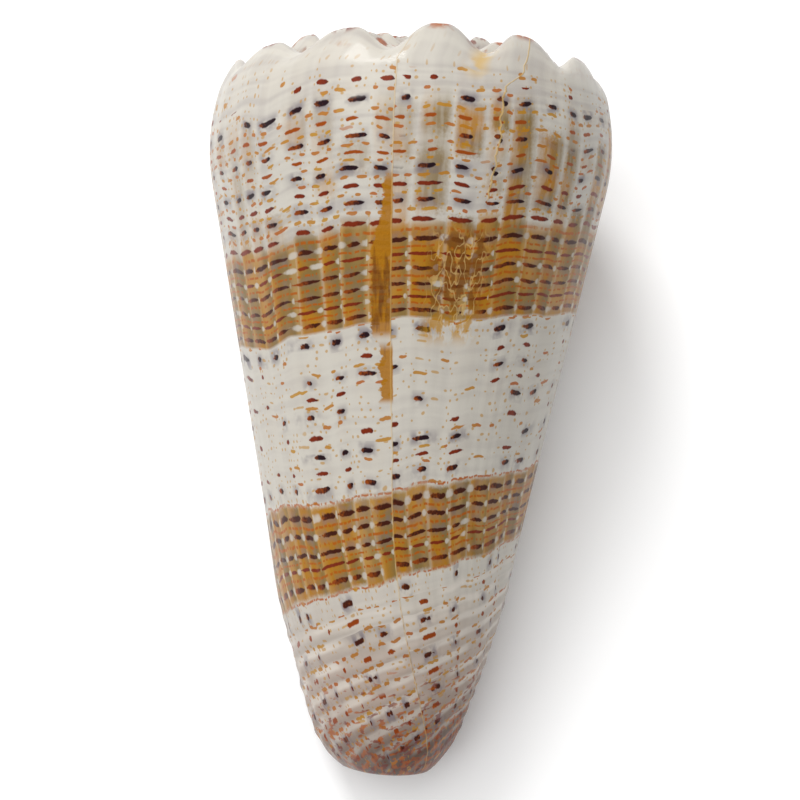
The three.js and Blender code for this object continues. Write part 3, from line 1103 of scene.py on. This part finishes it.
        # The hollow: the turn before on one side, the inner side of the last turn on the other
        depths_in = self.hollow_turns * (np.arange(self.hollow_steps + 1) / self.hollow_steps) ** 1.5
        core_points, core_depth, _ = self.side_grid(depths_in[1:] + 1.0)
        core_new = skin.add(core_points[:, weld - 1 :])
        core = np.concatenate([body[n:, weld:], core_new])
        core_depth = np.concatenate([depth[n:, weld:], core_depth[:, weld - 1 :]])
        share = depths_in / self.hollow_turns
        down = np.linspace(0.0, 1.0, core.shape[1])
        growth = self.growth_map(depths_in + 1.0, core_depth)
        inside = pairs(smooth(depths_in, 0.0, 0.03)[:, None], down[None, :])
        bake = self.sheet_of_bake(share, down, CORE_STRIP)
        skin.quads(core, (growth, inside, bake))

        roof = self.cap_grid(depths_in, rows[1:], inner=True)
        wall, _, _ = self.side_grid(depths_in, inner=True)
        inner_new = skin.add(np.concatenate([roof, wall], axis=1))
        inner = np.concatenate([core[:, :1], inner_new], axis=1)
        down = np.linspace(0.0, 1.0, inner.shape[1])
        side_map = self.growth_map(depths_in, self.side_grid(depths_in)[1])
        whole = np.concatenate([self.cap_map(depths_in, rows), side_map], axis=1)
        inside = np.ones_like(whole)
        bake = self.sheet_of_bake(share, down, INNER_STRIP)
        skin.quads(inner[::-1], (whole[::-1], inside[::-1], bake[::-1]))

        # The lip's rounded edge: half an ellipse across the wall at every row
        out_ring = np.concatenate([free[0, 1:], body[0]])
        points = np.concatenate(skin.points)
        a, b = points[out_ring], points[inner[0, 1:]]
        onward = np.stack([a[:, 1], -a[:, 0], np.zeros(len(a))], axis=1)
        onward /= np.linalg.norm(onward, axis=1, keepdims=True)
        turn = np.pi * np.arange(1, weld)[:, None, None] / weld
        reach = np.linalg.norm(a - b, axis=1)[None, :, None] / 2.0
        arc = a + (b - a) * (0.5 - 0.5 * np.cos(turn)) + onward * reach * np.sin(turn)
        edge = np.concatenate([np.concatenate([[free[0, 0]], out_ring])[None, :],
                               np.concatenate([body[n, 1:weld][:, None], skin.add(arc)], axis=1),
                               inner[:1]])
        share = np.arange(weld + 1) / weld
        inside = pairs(share[:, None], down[None, :])
        bake = self.sheet_of_bake(share, down, EDGE_STRIP)
        growth = np.broadcast_to(whole[:1], bake.shape)
        skin.quads(edge[::-1], (growth[::-1], inside[::-1], bake[::-1]))

        # The end of the hollow, and the blunt front face round the canal
        loop = np.concatenate([core[-1], inner[-1, 1:][::-1]])
        plain = np.broadcast_to(np.array(PLUG_SPOT), (len(loop), 2))
        skin.fill(loop, lambda p: np.stack([np.hypot(p[:, 0], p[:, 1]), p[:, 2]], axis=1),
                  (np.zeros((len(loop), 2)), np.ones((len(loop), 2)), plain))
        loop = np.concatenate([edge[:-1, -1], inner[:, -1], core[::-1, -1], body[1:n, -1][::-1]])
        drawn = np.concatenate(skin.points)[loop][:, :2]
        plain = np.array(PLUG_SPOT) + SPOT_SCALE * drawn
        growth = pairs(np.arctan2(drawn[:, 1], drawn[:, 0]) / (2.0 * np.pi), FRONT_ROW)
        skin.fill(loop, lambda p: p[:, :2], (growth, np.full((len(loop), 2), 0.3), plain))
        return skin

    def rest(self, skin: Skin) -> Matrix:
        """Finds the place where the shell lies: rolled, tilted, and set on the floor inside its CAD box.

        Args:
            skin: The built skin.

        Returns:
            The change from millimetres in the shell's frame to metres in the room.
        """
        turn = Matrix.Rotation(np.radians(self.roll), 4, "Z")
        turn = Matrix.Rotation(np.radians(self.tilt - 90.0), 4, "X") @ turn
        points = np.concatenate(skin.points) @ np.array(turn)[:3, :3].T * MM
        low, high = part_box("shell")
        middle = (points.min(axis=0) + points.max(axis=0)) / 2.0
        shift = (low + high) / 2.0 - Vector(middle)
        shift.z = low.z - points[:, 2].min()
        return Matrix.Translation(shift) @ turn @ Matrix.Scale(MM, 4)

    def build(self) -> bpy.types.Object:
        """Builds, places and dresses the shell.

        Returns:
            The piece.
        """
        skin = self.skin()
        piece = stand("cone_shell", skin.mesh("cone_shell", self.rest(skin)))
        piece.data.materials.append(self.finish.build())
        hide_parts("shell")
        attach(piece, "root")
        return piece


@dataclass
class Studio:
    """The pale table, the soft lights and the camera. Sizes are in metres and angles in degrees."""

    table: float = 3.0
    aim: Place = (0.00012, -0.00075, 0.018)
    distance: float = 0.16
    elevation: float = 78.0
    camera_roll: float = 2.5
    lens: float = 72.0
    white: float = 0.97
    room: float = 0.31
    key_place: Place = (-0.24, 0.52, 0.54)
    key_size: float = 0.25
    key_power: float = 3.3
    fill_place: Place = (-0.22, 0.0, 0.86)
    fill_size: float = 0.8
    fill_power: float = 6.1

    def floor(self) -> bpy.types.Object:
        """Lays the table: one flat grid at the shell's lowest level, with a dull white finish.

        Returns:
            The table.
        """
        line = np.linspace(-self.table, self.table, 9)
        x, y = np.meshgrid(line, line, indexing="ij")
        skin = Skin(("UVMap",))
        grid = skin.add(np.stack([x, y, np.zeros_like(x)], axis=-1))
        skin.quads(grid.T, (pairs(x, y).transpose(1, 0, 2),))
        floor = stand("table", skin.mesh("table", Matrix.Identity(4)))
        g = Graph("table_white")
        g.dress({"Base Color": (self.white, self.white, self.white, 1.0), "Roughness": 0.9})
        floor.data.materials.append(g.material)
        return floor

    def lamp(self, name: str, place: Place, size: float, power: float) -> bpy.types.Object:
        """Hangs one square soft light that faces the shell.

        Args:
            name: The light's name.
            place: Where it hangs.
            size: Its width.
            power: Its power in watts.

        Returns:
            The light.
        """
        data = bpy.data.lights.new(name, "AREA")
        data.size = size
        data.energy = power
        lamp = stand(name, data)
        lamp.location = place
        lamp.rotation_euler = (Vector(self.aim) - Vector(place)).to_track_quat("-Z", "Y").to_euler()
        return lamp

    def camera(self) -> bpy.types.Object:
        """Sets the camera over the shell, square to its axis, with the spire up.

        Returns:
            The camera.
        """
        data = bpy.data.cameras.new("camera")
        data.lens = self.lens
        data.clip_start = 0.01
        camera = stand("camera", data)
        rise = np.radians(self.elevation)
        back = Vector((0.0, -float(np.cos(rise)), float(np.sin(rise))))
        place = Matrix.Translation(Vector(self.aim) + back * self.distance)
        tip = Matrix.Rotation(np.radians(90.0 - self.elevation), 4, "X")
        camera.matrix_world = place @ tip @ Matrix.Rotation(np.radians(self.camera_roll), 4, "Z")
        bpy.context.scene.camera = camera
        return camera

    def build(self) -> None:
        """Lays the table, hangs the lights, lights the room and sets the camera."""
        self.floor()
        self.lamp("key", self.key_place, self.key_size, self.key_power)
        self.lamp("fill", self.fill_place, self.fill_size, self.fill_power).visible_glossy = False
        world = bpy.data.worlds.new("room")
        world.use_nodes = True
        light = world.node_tree.nodes["Background"]
        light.inputs[0].default_value = (1.0, 1.0, 1.0, 1.0)
        light.inputs[1].default_value = self.room
        scene = bpy.context.scene
        scene.world = world
        scene.view_settings.view_transform = "Standard"
        self.camera()


def main() -> None:
    """Builds the shell and the studio in order."""
    logging.basicConfig(level=logging.INFO, format="%(message)s")
    piece = ConeShell().build()
    LOG.info("%s: %d points, %d faces", piece.name, len(piece.data.vertices), len(piece.data.polygons))
    Studio().build()
    LOG.info("studio: table, lights and camera")


if __name__ == "__main__":
    main()
